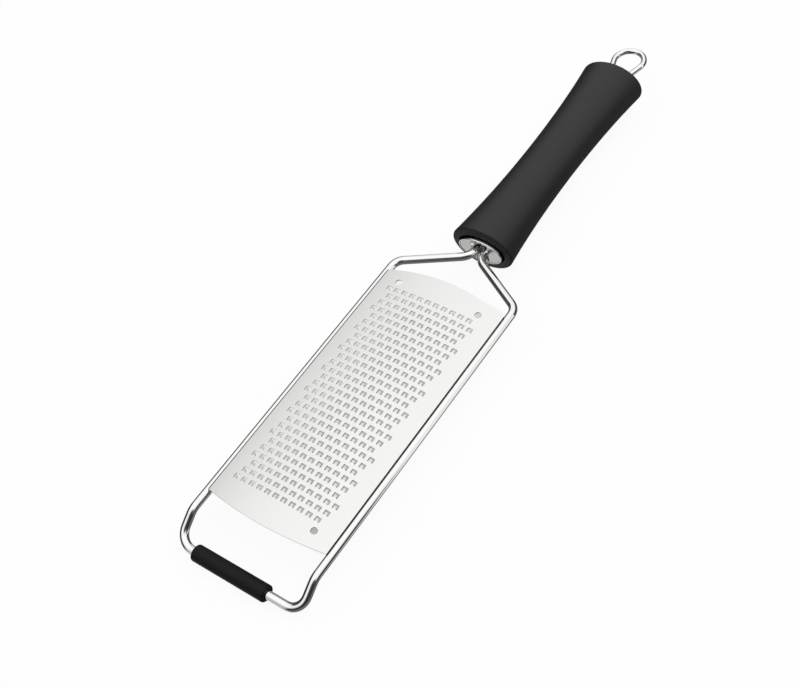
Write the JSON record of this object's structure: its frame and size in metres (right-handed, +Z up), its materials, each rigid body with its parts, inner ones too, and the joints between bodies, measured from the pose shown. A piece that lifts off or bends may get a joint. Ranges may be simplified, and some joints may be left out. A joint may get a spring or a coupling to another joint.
{
  "type": "rasp zester",
  "caption": "Hand rasp grater: perforated steel blade with raised teeth in a bent wire frame, oval black grip, wire hanging eye and rubber foot sleeve.",
  "frame": {"origin": "centre of the tool's footprint, on the surface that it lies on", "axes": "+Y from the foot to the hanging eye, +X to the right across the blade, +Z up out of the toothed face"},
  "size_m": [0.0636, 0.3122, 0.022],
  "materials": {
    "blade_steel": "satin",
    "frame_steel": "polished",
    "ferrule_steel": "satin",
    "grip_soft": "soft matt",
    "core_plastic": "moulded",
    "sleeve_rubber": "matt"
  },
  "bodies": {
    "root": {"wire_frame": "frame_steel", "rasp_blade": "blade_steel", "foot_sleeve": "sleeve_rubber", "ferrule": "ferrule_steel", "handle_core": "core_plastic", "grip": "grip_soft", "hanging_loop": "frame_steel"}
  },
  "joints": []
}
